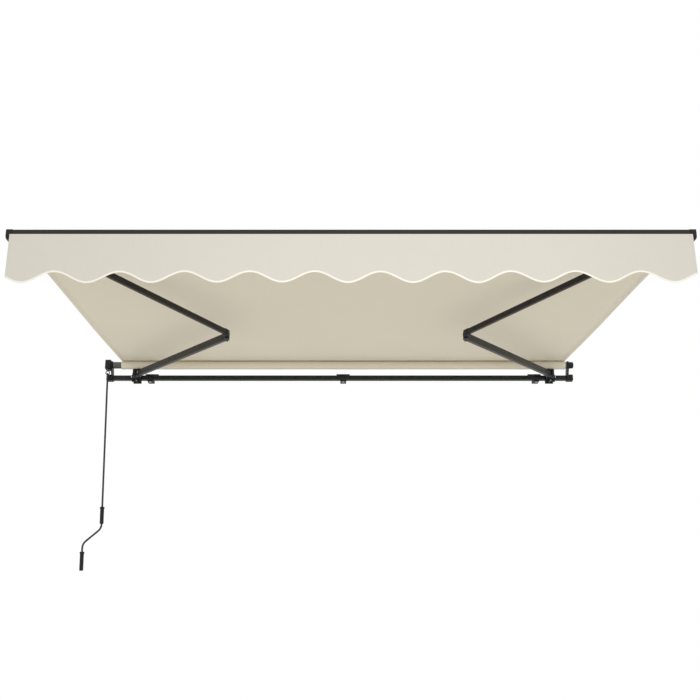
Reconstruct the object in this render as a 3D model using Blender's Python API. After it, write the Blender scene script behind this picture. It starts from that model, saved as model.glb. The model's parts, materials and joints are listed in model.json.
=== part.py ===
"""Folding-arm patio awning: a torsion bar on wall brackets, a cranked roller, two folding arms, a front bar.

+X runs along the awning, -Y points away from the wall, +Z is up. The origin is on the wall plane, in the
middle of the awning, level with the centre of the torsion bar. The awning stands open.
"""

import math

import bmesh
import bpy
from mathutils import Matrix, Vector

# Torsion bar and the end brackets at its ends
BAR_SIDE = 0.035
BAR_WALL = 0.0025
BAR_Y = -0.060
LEFT_END = -1.777
RIGHT_END = 1.722
LEFT_BRACKET_WIDTH = 0.048
RIGHT_BRACKET_WIDTH = 0.045
BRACKET_PLATE = 0.010
COLLAR_SIDE = 0.047
SOCKET_FLOOR = 0.009

# Roller and its fabric
ROLLER_Y = -0.105
ROLLER_Z = 0.087
TUBE_RADIUS = 0.025
TUBE_WALL = 0.0025
TUBE_LEFT = -1.722
TUBE_RIGHT = 1.672
ROLL_RADIUS = 0.031
SHAFT_RADIUS = 0.008
FABRIC_WIDTH = 3.320
FABRIC_THICKNESS = 0.0012

# Worm gear, eye and crank
GEAR_X = -1.757
WORM_Y = -0.131
WORM_RADIUS = 0.0060
EYE_Z = 0.018
EYE_RADIUS = 0.014
EYE_WIRE = 0.0035
CRANK_RADIUS = 0.007
HOOK_RADIUS = 0.0048
CRANK_LEAN = math.radians(2.0)
CRANK_OFFSET = 0.129
CRANK_BEND = 0.030
UPPER_GRIP_LENGTH = 0.120
LOWER_GRIP_LENGTH = 0.130

# Folding arms, between pivot centres
PITCH = math.radians(3.0)
PITCH_Y = -0.100
SHOULDER_X = 1.550
SHOULDER_REACH = 0.050
SHOULDER_RISE = 0.010
CLAMP_PLATE = 0.0056
ELBOW_X = 0.736
REACH = 2.372
ELBOW_DROP = 0.0944
TUBE_OFFSET = 0.020
INNER_TALL, INNER_WIDE, INNER_WALL = 0.045, 0.028, 0.0022
OUTER_TALL, OUTER_WIDE, OUTER_WALL = 0.033, 0.024, 0.0020
WRIST_TUBE_DROP = 0.008

# Front bar and valance
FRONT_HALF = 1.674
FRONT_REAR = -0.040
FRONT_DEPTH = 0.044
FRONT_BOTTOM = -0.025
FRONT_TOP = 0.021
CAP_WALL = 0.002
CAP_END = 0.006
CAP_LAP = 0.024
SLOT_RADIUS = 0.0036
SLOT_MOUTH = 0.0028
SLOT_DEPTH = 0.0062
CANOPY_SLOT_BACK = 0.018
VALANCE_SLOT_Z = -0.009
VALANCE_STAND_OFF = 0.0036
VALANCE_TOP = -0.007
VALANCE_PEAK = 0.190
VALANCE_LOW = 0.246
WAVE_PERIOD = 0.3125
WAVE_FIRST_LOW = -1.581

# Wall brackets and fasteners
WALL_BRACKETS = (("wall_bracket_left", -1.45), ("wall_bracket_centre", 0.0), ("wall_bracket_right", 1.45))
HOOK_HALF = 0.022
HOOK_LIP = 0.0062
FLANGE_HALF = 0.050
WALL_BOLT_X, WALL_BOLT_Z = 0.036, 0.026
CLAMP_BOLT_SHIFT = 0.004
CLAMP_BOLT_LEVELS = (("upper", 0.027), ("lower", -0.027))
ELBOW_PIN_RADIUS = 0.0060
SHOULDER_PIN_RADIUS = 0.0080

GAP = 0.0003
ARM_SPREAD = SHOULDER_X - ELBOW_X
ARM_LENGTH = math.hypot(ARM_SPREAD, REACH / 2)
ARM_ANGLE = math.atan2(ARM_SPREAD, REACH / 2)
INNER_SLOPE = math.atan2(ELBOW_DROP, ARM_LENGTH)
OUTER_SLOPE = math.atan2(ELBOW_DROP - WRIST_TUBE_DROP, ARM_LENGTH)

CAST_BLACK = ("cast_black", (0.020, 0.020, 0.021), 0.0, 0.45)
DARK_ALUMINIUM = ("dark_aluminium", (0.062, 0.058, 0.053), 0.6, 0.42)
DARK_STEEL = ("dark_steel", (0.045, 0.047, 0.050), 0.5, 0.45)
BRIGHT_STEEL = ("bright_steel", (0.55, 0.55, 0.56), 1.0, 0.35)
GREY_STEEL = ("grey_steel", (0.22, 0.22, 0.22), 0.9, 0.40)
BLACK_PLASTIC = ("black_plastic", (0.015, 0.015, 0.016), 0.0, 0.40)
WHITE_NYLON = ("white_nylon", (0.60, 0.59, 0.56), 0.0, 0.50)
CANVAS = ("canvas", (0.72, 0.66, 0.53), 0.0, 0.90)


def clear_scene():
    for old in list(bpy.data.objects):
        bpy.data.objects.remove(old, do_unlink=True)


def material_of(finish):
    name, colour, metallic, roughness = finish
    found = bpy.data.materials.get(name)
    if found:
        return found
    made = bpy.data.materials.new(name)
    made.use_nodes = True
    shader = made.node_tree.nodes["Principled BSDF"]
    shader.inputs["Base Color"].default_value = (*colour, 1.0)
    shader.inputs["Metallic"].default_value = metallic
    shader.inputs["Roughness"].default_value = roughness
    return made


def empty(name, location, rotation=(0, 0, 0), parent=None):
    made = bpy.data.objects.new(name, None)
    bpy.context.scene.collection.objects.link(made)
    made.location = location
    made.rotation_euler = rotation
    made.parent = parent
    return made


def arc(centre, radius, start, end, steps):
    """Points on an arc, angles in degrees, both ends included."""
    points = []
    for step in range(steps + 1):
        angle = math.radians(start + (end - start) * step / steps)
        points.append((centre[0] + radius * math.cos(angle), centre[1] + radius * math.sin(angle)))
    return points


def rounded(low, high, radii, steps=3):
    """A rectangle's outline with a radius for each corner: low-low, high-low, high-high, low-high."""
    corners = (
        (low[0], low[1], 1, 1), (high[0], low[1], -1, 1), (high[0], high[1], -1, -1), (low[0], high[1], 1, -1),
    )
    outline = []
    for index, (x, y, inward_x, inward_y) in enumerate(corners):
        radius = radii[index]
        centre = (x + inward_x * radius, y + inward_y * radius)
        outline += arc(centre, radius, 180 + 90 * index, 270 + 90 * index, steps)
    return outline


def hull(points):
    """Convex outline round the points, anticlockwise."""
    ordered = sorted(set(points))

    def half(sequence):
        chain = []
        for point in sequence:
            while len(chain) > 1 and cross(chain[-2], chain[-1], point) <= 1e-12:
                chain.pop()
            chain.append(point)
        return chain[:-1]

    return half(ordered) + half(reversed(ordered))


def cross(a, b, c):
    return (b[0] - a[0]) * (c[1] - a[1]) - (b[1] - a[1]) * (c[0] - a[0])


def circle(centre, radius, sides=24):
    return arc(centre, radius, 0, 360 - 360 / sides, sides - 1)


# Which coordinates an outline's two numbers and its extrusion stand for
ALONG = {"X": lambda a, b, c: (c, a, b), "Y": lambda a, b, c: (a, c, b), "Z": lambda a, b, c: (a, b, c)}


def prism(outline, axis, low, high):
    """An outline carried along an axis: it lies in Y and Z for X, in X and Z for Y, in X and Y for Z."""
    place = ALONG[axis]
    shape = bmesh.new()
    near = [shape.verts.new(place(a, b, low)) for a, b in outline]
    far = [shape.verts.new(place(a, b, high)) for a, b in outline]
    shape.faces.new(near)
    shape.faces.new(far)
    for index in range(len(outline)):
        after = (index + 1) % len(outline)
        shape.faces.new((near[index], near[after], far[after], far[index]))
    bmesh.ops.recalc_face_normals(shape, faces=shape.faces)
    return shape


def box(low, high):
    outline = ((low[0], low[1]), (high[0], low[1]), (high[0], high[1]), (low[0], high[1]))
    return prism(outline, "Z", low[2], high[2])


def rod(axis, centre, radius, low, high, sides=24):
    return prism(circle(centre, radius, sides), axis, low, high)


def turned(profile, axis, centre, sides=24):
    """A solid of revolution from (distance along the axis, radius) points, closed on the axis at both ends."""
    place = ALONG[axis]
    shape = bmesh.new()
    rings = []
    for along, radius in profile:
        rings.append([shape.verts.new(place(a, b, along)) for a, b in circle(centre, radius, sides)])
    for first, second in zip(rings, rings[1:]):
        for index in range(sides):
            after = (index + 1) % sides
            shape.faces.new((first[index], first[after], second[after], second[index]))
    shape.faces.new(rings[0])
    shape.faces.new(rings[-1])
    bmesh.ops.recalc_face_normals(shape, faces=shape.faces)
    return shape


def ring_solid(centre, radius, wire, around=20, across=8):
    """A torus standing in the XZ plane."""
    shape = bmesh.new()
    loops = []
    for step in range(around):
        turn = 2 * math.pi * step / around
        loop = []
        for side in range(across):
            tilt = 2 * math.pi * side / across
            reach = radius + wire * math.cos(tilt)
            offset = (reach * math.cos(turn), wire * math.sin(tilt), reach * math.sin(turn))
            loop.append(shape.verts.new(Vector(centre) + Vector(offset)))
        loops.append(loop)
    for step in range(around):
        this, after = loops[step], loops[(step + 1) % around]
        for side in range(across):
            beyond = (side + 1) % across
            shape.faces.new((this[side], this[beyond], after[beyond], after[side]))
    bmesh.ops.recalc_face_normals(shape, faces=shape.faces)
    return shape


def moved(shape, matrix):
    shape.transform(matrix)
    return shape


def mesh_object(name, shape, finish, parent):
    mesh = bpy.data.meshes.new(name)
    shape.to_mesh(mesh)
    shape.free()
    mesh.shade_smooth()
    mesh.set_sharp_from_angle(angle=math.radians(35))
    mesh.materials.append(material_of(finish))
    made = bpy.data.objects.new(name, mesh)
    bpy.context.scene.collection.objects.link(made)
    made.parent = parent
    return made


def part(name, finish, solids, holes=(), parent=None):
    """One piece: its first solid, joined with the rest, then cut by the holes."""
    made = mesh_object(name, solids[0], finish, parent)
    steps = [(solid, "UNION") for solid in solids[1:]] + [(hole, "DIFFERENCE") for hole in holes]
    for index, (shape, operation) in enumerate(steps):
        helper = mesh_object(f"{name}_helper_{index}", shape, finish, parent)
        helper.hide_render = True
        helper.display_type = "WIRE"
        boolean = made.modifiers.new(f"step_{index}", "BOOLEAN")
        boolean.object = helper
        boolean.operation = operation
        boolean.solver = "EXACT"
    return made


def bar_outline(half, radius):
    """The bar's square section, grown or shrunk, in Y and Z."""
    return rounded((BAR_Y - half, -half), (BAR_Y + half, half), (radius,) * 4)


def build_torsion_bar():
    low = LEFT_END + SOCKET_FLOOR + GAP
    high = RIGHT_END - SOCKET_FLOOR - GAP
    half = BAR_SIDE / 2
    bore = prism(bar_outline(half - BAR_WALL, 0.002), "X", low - 0.01, high + 0.01)
    part("torsion_bar", DARK_STEEL, [prism(bar_outline(half, 0.004), "X", low, high)], [bore])


def build_wall_bracket(name, x):
    """A hook that takes the bar from the front, on a flange for two wall bolts, and its clamp bolt."""
    half = BAR_SIDE / 2 + 0.0005
    back = BAR_Y + half + GAP
    front = BAR_Y - half - GAP
    lip = HOOK_LIP
    bolt_y = BAR_Y + CLAMP_BOLT_SHIFT
    hook = [(0, -half - lip), (0, 0.050), (-0.008, 0.050), (-0.008, half + lip)]
    hook += [(front - 0.006, half + lip), (front - 0.006, 0.008), (front, 0.008), (front, half)]
    hook += [(back, half), (back, -half), (BAR_Y - 0.008, -half), (BAR_Y - 0.008, -half - lip)]
    body = prism(hook, "X", x - HOOK_HALF, x + HOOK_HALF)
    flange = box((x - FLANGE_HALF, -0.008, 0.002), (x + FLANGE_HALF, 0, 0.0499))
    window = box((x - 0.040, -0.035, -0.013), (x + 0.040, -0.013, 0.014))
    wall_bolts = [(x + side * WALL_BOLT_X, WALL_BOLT_Z) for side in (-1, 1)]
    bolt_holes = [rod("Y", centre, 0.0055, -0.02, 0.01, 20) for centre in wall_bolts]
    clamp_hole = rod("Z", (x, bolt_y), 0.0053, -0.04, -0.010, 20)
    part(name, CAST_BLACK, [body, flange], [window, *bolt_holes, clamp_hole])
    head_top = -half - lip - GAP
    head = [(head_top - 0.0065, 0.0095), (head_top, 0.0095)]
    hexagon = turned(head, "Z", (x, bolt_y), 6)
    shank = rod("Z", (x, bolt_y), 0.005, head_top - 0.002, -BAR_SIDE / 2 - GAP, 16)
    part(name.replace("wall_bracket", "clamp_bolt"), BRIGHT_STEEL, [hexagon, shank])


def end_bracket_solids(inner, outer, plate_low, plate_high):
    """The collar round the bar's end, and the plate that rises from it to the roller's axis."""
    half = COLLAR_SIDE / 2
    collar = bar_outline(half, 0.006)
    foot = rounded((BAR_Y - half, -0.015), (BAR_Y + half, 0.02), (0.006,) * 4)
    web = hull(circle((ROLLER_Y, ROLLER_Z), ROLL_RADIUS, 32) + foot)
    return prism(collar, "X", inner, outer), prism(web, "X", plate_low, plate_high)


def build_end_brackets():
    axis = (ROLLER_Y, ROLLER_Z)
    socket = bar_outline(BAR_SIDE / 2 + GAP, 0.004)
    inner = LEFT_END + LEFT_BRACKET_WIDTH
    collar, web = end_bracket_solids(LEFT_END, inner, inner - BRACKET_PLATE, inner)
    pocket = prism(socket, "X", LEFT_END + SOCKET_FLOOR, inner + 0.01)
    shaft_way = rod("X", axis, SHAFT_RADIUS + 0.0005, inner - 0.02, inner + 0.01)
    part("end_bracket_left", CAST_BLACK, [collar, web], [pocket, shaft_way])

    inner = RIGHT_END - RIGHT_BRACKET_WIDTH
    collar, web = end_bracket_solids(inner, RIGHT_END, inner, inner + BRACKET_PLATE)
    boss = turned([(inner + 0.002, 0.026), (RIGHT_END - 0.003, 0.024), (RIGHT_END, 0.020)], "X", axis, 32)
    pocket = prism(socket, "X", inner - 0.01, RIGHT_END - SOCKET_FLOOR)
    bush_way = rod("X", axis, 0.0125, inner - 0.01, inner + 0.030)
    part("end_bracket_right", CAST_BLACK, [collar, web, boss], [pocket, bush_way])
    bush = rod("X", axis, 0.0125 - GAP, inner, inner + 0.026)
    bore = rod("X", axis, SHAFT_RADIUS + 0.0001, inner - 0.01, inner + 0.04)
    part("idler_bush", WHITE_NYLON, [bush], [bore])


def build_gear():
    inner = LEFT_END + LEFT_BRACKET_WIDTH - BRACKET_PLATE - GAP
    outer = LEFT_END + 0.0035
    wall = 0.004
    axis = (ROLLER_Y, ROLLER_Z)
    low, high = (-0.149, 0.048), (-0.076, 0.120)
    corners = (0.012, 0.012, 0.026, 0.014)
    shell = prism(rounded(low, high, corners, 5), "X", outer, inner)
    inner_corners = [radius - wall for radius in corners]
    inside = rounded((low[0] + wall, low[1] + wall), (high[0] - wall, high[1] - wall), inner_corners, 5)
    hollow = prism(inside, "X", outer - 0.01, inner - wall)
    shaft_way = rod("X", axis, SHAFT_RADIUS + 0.0005, inner - 0.01, inner + 0.01)
    worm_way = rod("Z", (GEAR_X, WORM_Y), 0.0062, 0.030, 0.060, 20)
    part("gear_case", CAST_BLACK, [shell], [hollow, shaft_way, worm_way])
    cover = prism(rounded(low, high, corners, 5), "X", LEFT_END, outer - GAP)
    part("gear_cover", BLACK_PLASTIC, [cover])

    shaft = turned([(LEFT_END + 0.008, SHAFT_RADIUS), (TUBE_LEFT - 0.0035, SHAFT_RADIUS)], "X", axis)
    spigot = TUBE_RADIUS - TUBE_WALL - GAP
    profile = [(TUBE_LEFT - 0.0038, TUBE_RADIUS), (TUBE_LEFT - GAP, TUBE_RADIUS)]
    profile += [(TUBE_LEFT - GAP, spigot), (TUBE_LEFT + 0.035, spigot)]
    part("drive_plug", BLACK_PLASTIC, [turned(profile, "X", axis, 32), shaft])
    build_worm_pair(axis)


def build_worm_pair(axis):
    """The wheel on the roller's shaft and the upright worm in front of it, which ends in the crank's eye."""
    teeth = 22
    rim = []
    for step in range(2 * teeth):
        angle = math.pi * step / teeth
        radius = 0.0193 if step % 2 else 0.0172
        rim.append((ROLLER_Y + radius * math.cos(angle), ROLLER_Z + radius * math.sin(angle)))
    wheel_bore = rod("X", axis, SHAFT_RADIUS + GAP, GEAR_X - 0.02, GEAR_X + 0.02)
    part("worm_wheel", BRIGHT_STEEL, [prism(rim, "X", GEAR_X - 0.005, GEAR_X + 0.005)], [wheel_bore])

    thread = [(EYE_Z + EYE_RADIUS, 0.0055), (0.066, 0.0055)]
    for turn in range(5):
        start = 0.068 + 0.0075 * turn
        thread += [(start, 0.0048), (start + 0.0025, WORM_RADIUS), (start + 0.0050, WORM_RADIUS)]
    thread += [(0.1060, 0.0048), (0.1120, 0.0048)]
    worm = turned(thread, "Z", (GEAR_X, WORM_Y), 14)
    eye = ring_solid((GEAR_X, WORM_Y, EYE_Z), EYE_RADIUS, EYE_WIRE)
    part("worm_shaft_with_eye", GREY_STEEL, [eye, worm])


def build_roller():
    axis = (ROLLER_Y, ROLLER_Z)
    tube = rod("X", axis, TUBE_RADIUS, TUBE_LEFT, TUBE_RIGHT, 40)
    bore = rod("X", axis, TUBE_RADIUS - TUBE_WALL, TUBE_LEFT - 0.01, TUBE_RIGHT + 0.01, 40)
    part("roller_tube", GREY_STEEL, [tube], [bore])
    half = FABRIC_WIDTH / 2
    roll = rod("X", axis, ROLL_RADIUS, -half, half, 48)
    core = rod("X", axis, TUBE_RADIUS + GAP, -half - 0.01, half + 0.01, 48)
    part("fabric_roll", CANVAS, [roll], [core])
    spigot = TUBE_RADIUS - TUBE_WALL - GAP
    profile = [(TUBE_RIGHT - 0.035, spigot), (TUBE_RIGHT + GAP, spigot)]
    profile += [(TUBE_RIGHT + GAP, TUBE_RADIUS), (TUBE_RIGHT + 0.0028, TUBE_RADIUS)]
    pin = rod("X", axis, SHAFT_RADIUS - GAP, TUBE_RIGHT + 0.001, RIGHT_END - RIGHT_BRACKET_WIDTH + 0.024)
    part("idler_plug", BLACK_PLASTIC, [turned(profile, "X", axis, 32), pin])


def crank_path():
    """The crank's centre line from the hook's tip, over the eye's wire, down the rod and round the S-bend."""
    reach = EYE_WIRE + HOOK_RADIUS + 2 * GAP
    points = [(0.0, reach, -0.013), (0.0, reach, -0.006)]
    for step in range(1, 7):
        angle = math.pi * step / 7
        points.append((0.0, reach * math.cos(angle), reach * math.sin(angle)))
    points += [(0.0, -reach, -0.010), (0.0, -reach * 0.8, -0.020)]
    points += [(0.0, -reach * 0.3, -0.030), (0.0, 0.0, -0.040)]
    stations = [Vector((0.0, 0.0, -0.040)), Vector((0.0, 0.0, -1.150))]
    stations += [Vector((-CRANK_OFFSET, 0.0, -1.255)), Vector((-CRANK_OFFSET, 0.0, -1.428))]
    for before, corner, after in zip(stations, stations[1:], stations[2:]):
        enter = corner + (before - corner).normalized() * CRANK_BEND
        leave = corner + (after - corner).normalized() * CRANK_BEND
        for step in range(6):
            share = step / 5
            points.append(enter.lerp(corner, share).lerp(corner.lerp(leave, share), share)[:])
    points.append(stations[-1][:])
    return points


def build_crank(hinge):
    """One bent rod, with a sleeve that turns freely above its S-bend and one below it."""
    path = crank_path()
    curve = bpy.data.curves.new("crank_rod", "CURVE")
    curve.dimensions = "3D"
    curve.bevel_depth = CRANK_RADIUS
    curve.bevel_resolution = 2
    curve.use_fill_caps = True
    spline = curve.splines.new("POLY")
    spline.points.add(len(path) - 1)
    for point, place in zip(spline.points, path):
        point.co = (*place, 1.0)
        point.radius = 1.0 if place[2] < -0.032 else HOOK_RADIUS / CRANK_RADIUS
    curve.materials.append(material_of(GREY_STEEL))
    made = bpy.data.objects.new("crank_rod", curve)
    bpy.context.scene.collection.objects.link(made)
    made.parent = hinge
    upper = empty("upper_grip_axis", (0, 0, -0.998), parent=hinge)
    lower = empty("lower_grip_axis", (-CRANK_OFFSET, 0, -1.312), parent=hinge)
    grips = (("upper_grip", upper, UPPER_GRIP_LENGTH), ("lower_grip", lower, LOWER_GRIP_LENGTH))
    for name, parent, length in grips:
        sleeve = [(-length, 0.0110), (-length + 0.004, 0.0135), (-0.014, 0.0135)]
        sleeve += [(-0.011, 0.0165), (-0.002, 0.0165), (0, 0.0145)]
        depth = -length - 0.01 if name == "upper_grip" else -length + 0.006
        bore = rod("Z", (0, 0), CRANK_RADIUS + GAP, depth, 0.01, 16)
        part(name, BLACK_PLASTIC, [turned(sleeve, "Z", (0, 0), 22)], [bore], parent)


def build_shoulder(side, mount, pitch):
    """The clamp on the torsion bar, with the pitch bolt through its ears, and the block that tilts on it."""
    half = BAR_SIDE / 2
    rear = BAR_Y - half - GAP - PITCH_Y
    body = box((-0.034, rear - CLAMP_PLATE, -0.036), (0.034, rear, 0.036))
    ears = []
    for edge in (-1, 1):
        profile = hull(circle((0, 0), 0.013, 24) + [(rear - 0.004, -0.022), (rear - 0.004, 0.022)])
        low, high = sorted((edge * 0.0225, edge * 0.0305))
        ears.append(prism(profile, "X", low, high))
    holes = [rod("X", (0, 0), 0.0062, -0.05, 0.05, 20)]
    holes += [rod("Y", (0, z), 0.0043, rear - 0.02, rear + 0.01, 16) for _, z in CLAMP_BOLT_LEVELS]
    part(f"shoulder_bracket_{side}", CAST_BLACK, [body, *ears], holes, mount)
    back = BAR_Y + half + GAP - PITCH_Y
    strap = box((-0.030, back, -0.036), (0.030, back + 0.007, 0.036))
    strap_holes = [rod("Y", (0, z), 0.0043, back - 0.01, back + 0.02, 16) for _, z in CLAMP_BOLT_LEVELS]
    part(f"shoulder_clamp_{side}", CAST_BLACK, [strap], strap_holes, mount)
    for level, z in CLAMP_BOLT_LEVELS:
        seat = rear - CLAMP_PLATE - GAP
        head = turned([(seat - 0.0055, 0.0068), (seat, 0.0068)], "Y", (0, z), 6)
        shank = rod("Y", (0, z), 0.0040, seat - 0.002, back + 0.012, 16)
        part(f"shoulder_bolt_{level}_{side}", BRIGHT_STEEL, [head, shank], (), mount)
    outward = -1 if side == "left" else 1
    head_ends = sorted((outward * 0.0308, outward * 0.0370))
    shank_ends = sorted((outward * 0.0330, outward * -0.0335))
    head = turned([(end, 0.0100) for end in head_ends], "X", (0, 0), 6)
    bolt = turned([(end, 0.0058) for end in shank_ends], "X", (0, 0), 20)
    part(f"pitch_bolt_{side}", BRIGHT_STEEL, [bolt, head], (), mount)

    pin_at = -SHOULDER_REACH
    boss = rod("X", (0, 0), 0.0155, -0.0222, 0.0222, 28)
    web = box((-0.013, pin_at, SHOULDER_RISE - 0.0195), (0.013, 0, SHOULDER_RISE + 0.010))
    barrel = rod("Z", (0, pin_at), 0.0160, SHOULDER_RISE - 0.020, SHOULDER_RISE + 0.020, 28)
    ways = [rod("X", (0, 0), 0.0061, -0.05, 0.05, 20), rod("Z", (0, pin_at), 0.0083, -0.05, 0.06, 20)]
    part(f"shoulder_block_{side}", CAST_BLACK, [boss, web, barrel], ways, pitch)
    radius = SHOULDER_PIN_RADIUS
    profile = [(-0.036, 0.0060), (-0.034, radius), (0.0276, radius)]
    profile += [(0.0276, 0.0125), (0.0320, 0.0125), (0.0335, 0.0105)]
    profile = [(SHOULDER_RISE + height, size) for height, size in profile]
    part(f"shoulder_pin_{side}", BRIGHT_STEEL, [turned(profile, "Z", (0, pin_at), 20)], (), pitch)


def ear_outline(pin_x, radius, tube_x, tube_v, tube_half):
    """A plate from round a pivot pin to the full width of the arm's tube."""
    corners = [(tube_x, tube_v - tube_half), (tube_x, tube_v + tube_half)]
    return hull(circle((pin_x, 0), radius, 28) + corners)


def sloped(low, high, tall, wide, offset, slope):
    """A block along the arm: it climbs from the pivot's level by the slope and stands off by the offset."""
    outline = rounded((offset - wide / 2, -tall / 2), (offset + wide / 2, tall / 2), (0.003,) * 4)
    return moved(prism(outline, "X", low, high), Matrix.Rotation(-slope, 4, "Y"))


def arm_tube(name, section, ends, offset, slope, parent):
    """A hollow tube short of both pivots by ends. It returns the distance between them along the tube."""
    tall, wide, wall = section
    outline = rounded((offset - wide / 2, -tall / 2), (offset + wide / 2, tall / 2), (0.004,) * 4)
    low, high = (offset - wide / 2 + wall, -tall / 2 + wall), (offset + wide / 2 - wall, tall / 2 - wall)
    inner = rounded(low, high, (0.002,) * 4)
    turn = Matrix.Rotation(-slope, 4, "Y")
    full = ARM_LENGTH / math.cos(slope)
    solid = moved(prism(outline, "X", ends[0], full - ends[1]), turn)
    bore = moved(prism(inner, "X", ends[0] - 0.01, full - ends[1] + 0.01), turn)
    part(name, DARK_ALUMINIUM, [solid], [bore], parent)
    return full


def build_inner_arm(side, convex, parent):
    """The tube from shoulder to elbow, its two plugged-in castings, the elbow's pin and the spring inside."""
    offset = convex * TUBE_OFFSET
    slope = -INNER_SLOPE
    section = (INNER_TALL, INNER_WIDE, INNER_WALL)
    full = arm_tube(f"inner_arm_{side}", section, (0.060, 0.055), offset, slope, parent)
    plug_tall = INNER_TALL - 2 * INNER_WALL - 2 * GAP
    plug_wide = INNER_WIDE - 2 * INNER_WALL - 2 * GAP
    fork = ear_outline(0, 0.017, 0.052, offset, INNER_WIDE / 2 - 0.0005)
    solids = [
        sloped(0.0300, 0.0597, INNER_TALL, INNER_WIDE, offset, slope),
        prism(fork, "Z", 0.0203, 0.0273),
        prism(fork, "Z", -0.0273, -0.0203),
        sloped(0.0580, 0.1050, plug_tall, plug_wide, offset, slope),
    ]
    part(f"shoulder_fork_{side}", CAST_BLACK, solids, [rod("Z", (0, 0), 0.0083, -0.05, 0.05, 20)], parent)

    elbow = (ARM_LENGTH, 0)
    yoke = ear_outline(ARM_LENGTH, 0.0150, ARM_LENGTH - 0.050, offset, INNER_WIDE / 2 - 0.0005)
    solids = [
        sloped(full - 0.0547, full - 0.0300, 0.0500, INNER_WIDE, offset, slope),
        prism(yoke, "Z", -ELBOW_DROP + 0.0183, -ELBOW_DROP + 0.0263),
        prism(yoke, "Z", -ELBOW_DROP - 0.0263, -ELBOW_DROP - 0.0183),
        sloped(full - 0.1000, full - 0.0530, plug_tall, plug_wide, offset, slope),
    ]
    bore = rod("Z", elbow, 0.0063, -ELBOW_DROP - 0.05, -ELBOW_DROP + 0.05, 20)
    part(f"elbow_yoke_{side}", CAST_BLACK, solids, [bore], parent)
    radius = ELBOW_PIN_RADIUS
    profile = [(-0.0300, 0.0045), (-0.0285, radius), (0.0266, radius), (0.0266, 0.0095), (0.0300, 0.0095)]
    profile = [(height - ELBOW_DROP, size) for height, size in profile]
    part(f"elbow_pin_{side}", BRIGHT_STEEL, [turned(profile, "Z", elbow, 20)], (), parent)
    spring = rod("X", (offset, 0), 0.0085, 0.16, full - 0.20, 16)
    part(f"arm_spring_{side}", BRIGHT_STEEL, [moved(spring, Matrix.Rotation(-slope, 4, "Y"))], (), parent)


def build_outer_arm(side, convex, parent):
    """The tube from elbow to wrist, and the castings plugged into its ends."""
    offset = convex * TUBE_OFFSET
    slope = OUTER_SLOPE
    section = (OUTER_TALL, OUTER_WIDE, OUTER_WALL)
    full = arm_tube(f"outer_arm_{side}", section, (0.055, 0.050), offset, slope, parent)
    plug_tall = OUTER_TALL - 2 * OUTER_WALL - 2 * GAP
    plug_wide = OUTER_WIDE - 2 * OUTER_WALL - 2 * GAP
    tongue = ear_outline(0, 0.0150, 0.050, offset, OUTER_WIDE / 2 - 0.0005)
    solids = [
        prism(tongue, "Z", -0.0180, 0.0180),
        sloped(0.0320, 0.0547, 0.0380, OUTER_WIDE, offset, slope),
        sloped(0.0530, 0.1000, plug_tall, plug_wide, offset, slope),
    ]
    part(f"elbow_tongue_{side}", CAST_BLACK, solids, [rod("Z", (0, 0), 0.0063, -0.05, 0.05, 20)], parent)
    tip = ear_outline(ARM_LENGTH, 0.0140, ARM_LENGTH - 0.046, offset, OUTER_WIDE / 2 - 0.0005)
    solids = [
        prism(tip, "Z", ELBOW_DROP - 0.0120, ELBOW_DROP + 0.0080),
        sloped(full - 0.0497, full - 0.0300, OUTER_TALL, OUTER_WIDE, offset, slope),
        sloped(full - 0.0950, full - 0.0480, plug_tall, plug_wide, offset, slope),
    ]
    bore = rod("Z", (ARM_LENGTH, 0), 0.0066, ELBOW_DROP - 0.05, ELBOW_DROP + 0.05, 20)
    part(f"wrist_tongue_{side}", CAST_BLACK, solids, [bore], parent)


def front_outline(grow):
    """The front bar's section in Y and Z, grown for its end caps."""
    low = (FRONT_REAR - FRONT_DEPTH - grow, FRONT_BOTTOM - grow)
    high = (FRONT_REAR + grow, FRONT_TOP + grow)
    return rounded(low, high, (0.012 + grow, 0.004 + grow, 0.004 + grow, 0.007 + grow), 5)


def keder_slot(centre, mouth_low, mouth_high, low, high):
    """A round way for a fabric edge's cord, and the narrow mouth that the fabric leaves by."""
    mouth = prism(rounded(mouth_low, mouth_high, (0.0002,) * 4, 1), "X", low, high)
    return [rod("X", centre, SLOT_RADIUS, low, high, 16), mouth]


def build_front(parent):
    """The front bar and all on it, placed from the left wrist pin; its middle is SHOULDER_X to the right."""
    middle = SHOULDER_X
    low, high = middle - FRONT_HALF, middle + FRONT_HALF
    front = FRONT_REAR - FRONT_DEPTH
    chamber = rounded((front + 0.016, FRONT_BOTTOM + 0.003), (FRONT_REAR - 0.003, 0.0065), (0.003,) * 4)
    holes = [prism(chamber, "X", low - 0.01, high + 0.01)]
    y, z = FRONT_REAR - CANOPY_SLOT_BACK, FRONT_TOP - SLOT_DEPTH
    holes += keder_slot(
        (y, z), (y - SLOT_MOUTH / 2, z), (y + SLOT_MOUTH / 2, FRONT_TOP + 0.01), low - 0.01, high + 0.01,
    )
    y, z = front + SLOT_DEPTH, VALANCE_SLOT_Z
    holes += keder_slot(
        (y, z), (front - 0.01, z - SLOT_MOUTH / 2), (y, z + SLOT_MOUTH / 2), low - 0.01, high + 0.01,
    )
    part("front_bar", DARK_ALUMINIUM, [prism(front_outline(0), "X", low, high)], holes, parent)
    for side, sign in (("left", -1), ("right", 1)):
        build_front_cap(side, sign, middle, parent)
        build_wrist(side, middle + sign * SHOULDER_X, parent)
    build_valance(parent, middle, front)


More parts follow.
